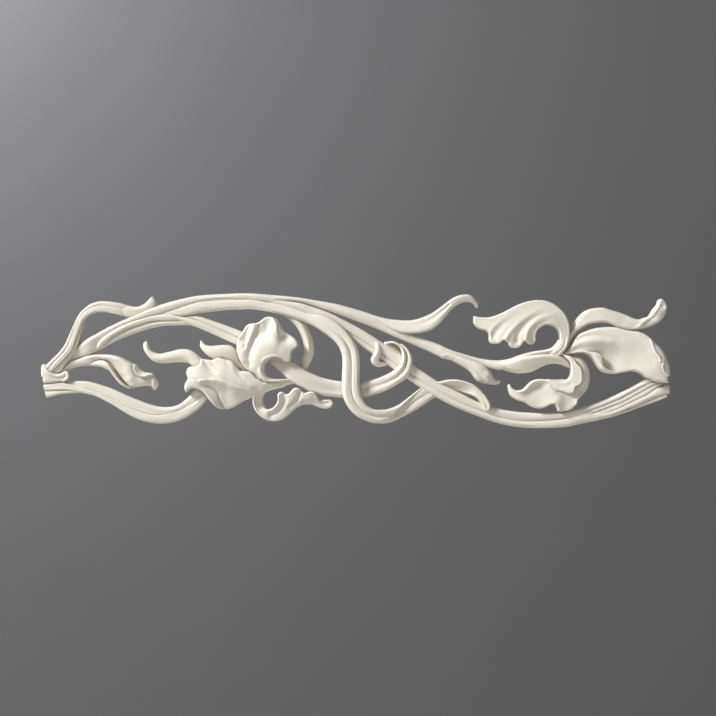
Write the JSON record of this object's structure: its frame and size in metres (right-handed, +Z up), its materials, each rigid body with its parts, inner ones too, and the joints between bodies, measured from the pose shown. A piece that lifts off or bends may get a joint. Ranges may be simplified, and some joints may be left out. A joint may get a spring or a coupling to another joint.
{
  "type": "openwork floral moulding",
  "caption": "Openwork floral frieze moulding with flat back: whiplash stems, curled leaves and iris-like flowers, cast in off-white polyurethane.",
  "frame": {"origin": "on the flat back, in the middle of the moulding's length, where the ribbon crosses", "axes": "+X along the length to the right as seen from the front, +Y out of the back into the wall, +Z up"},
  "size_m": [1, 0.038, 0.2145],
  "materials": {
    "primed_polyurethane": "matt off-white primer on moulded rigid foam skin, soft sheen on the crests"
  },
  "bodies": {
    "root": {"moulding": "primed_polyurethane"}
  },
  "joints": []
}
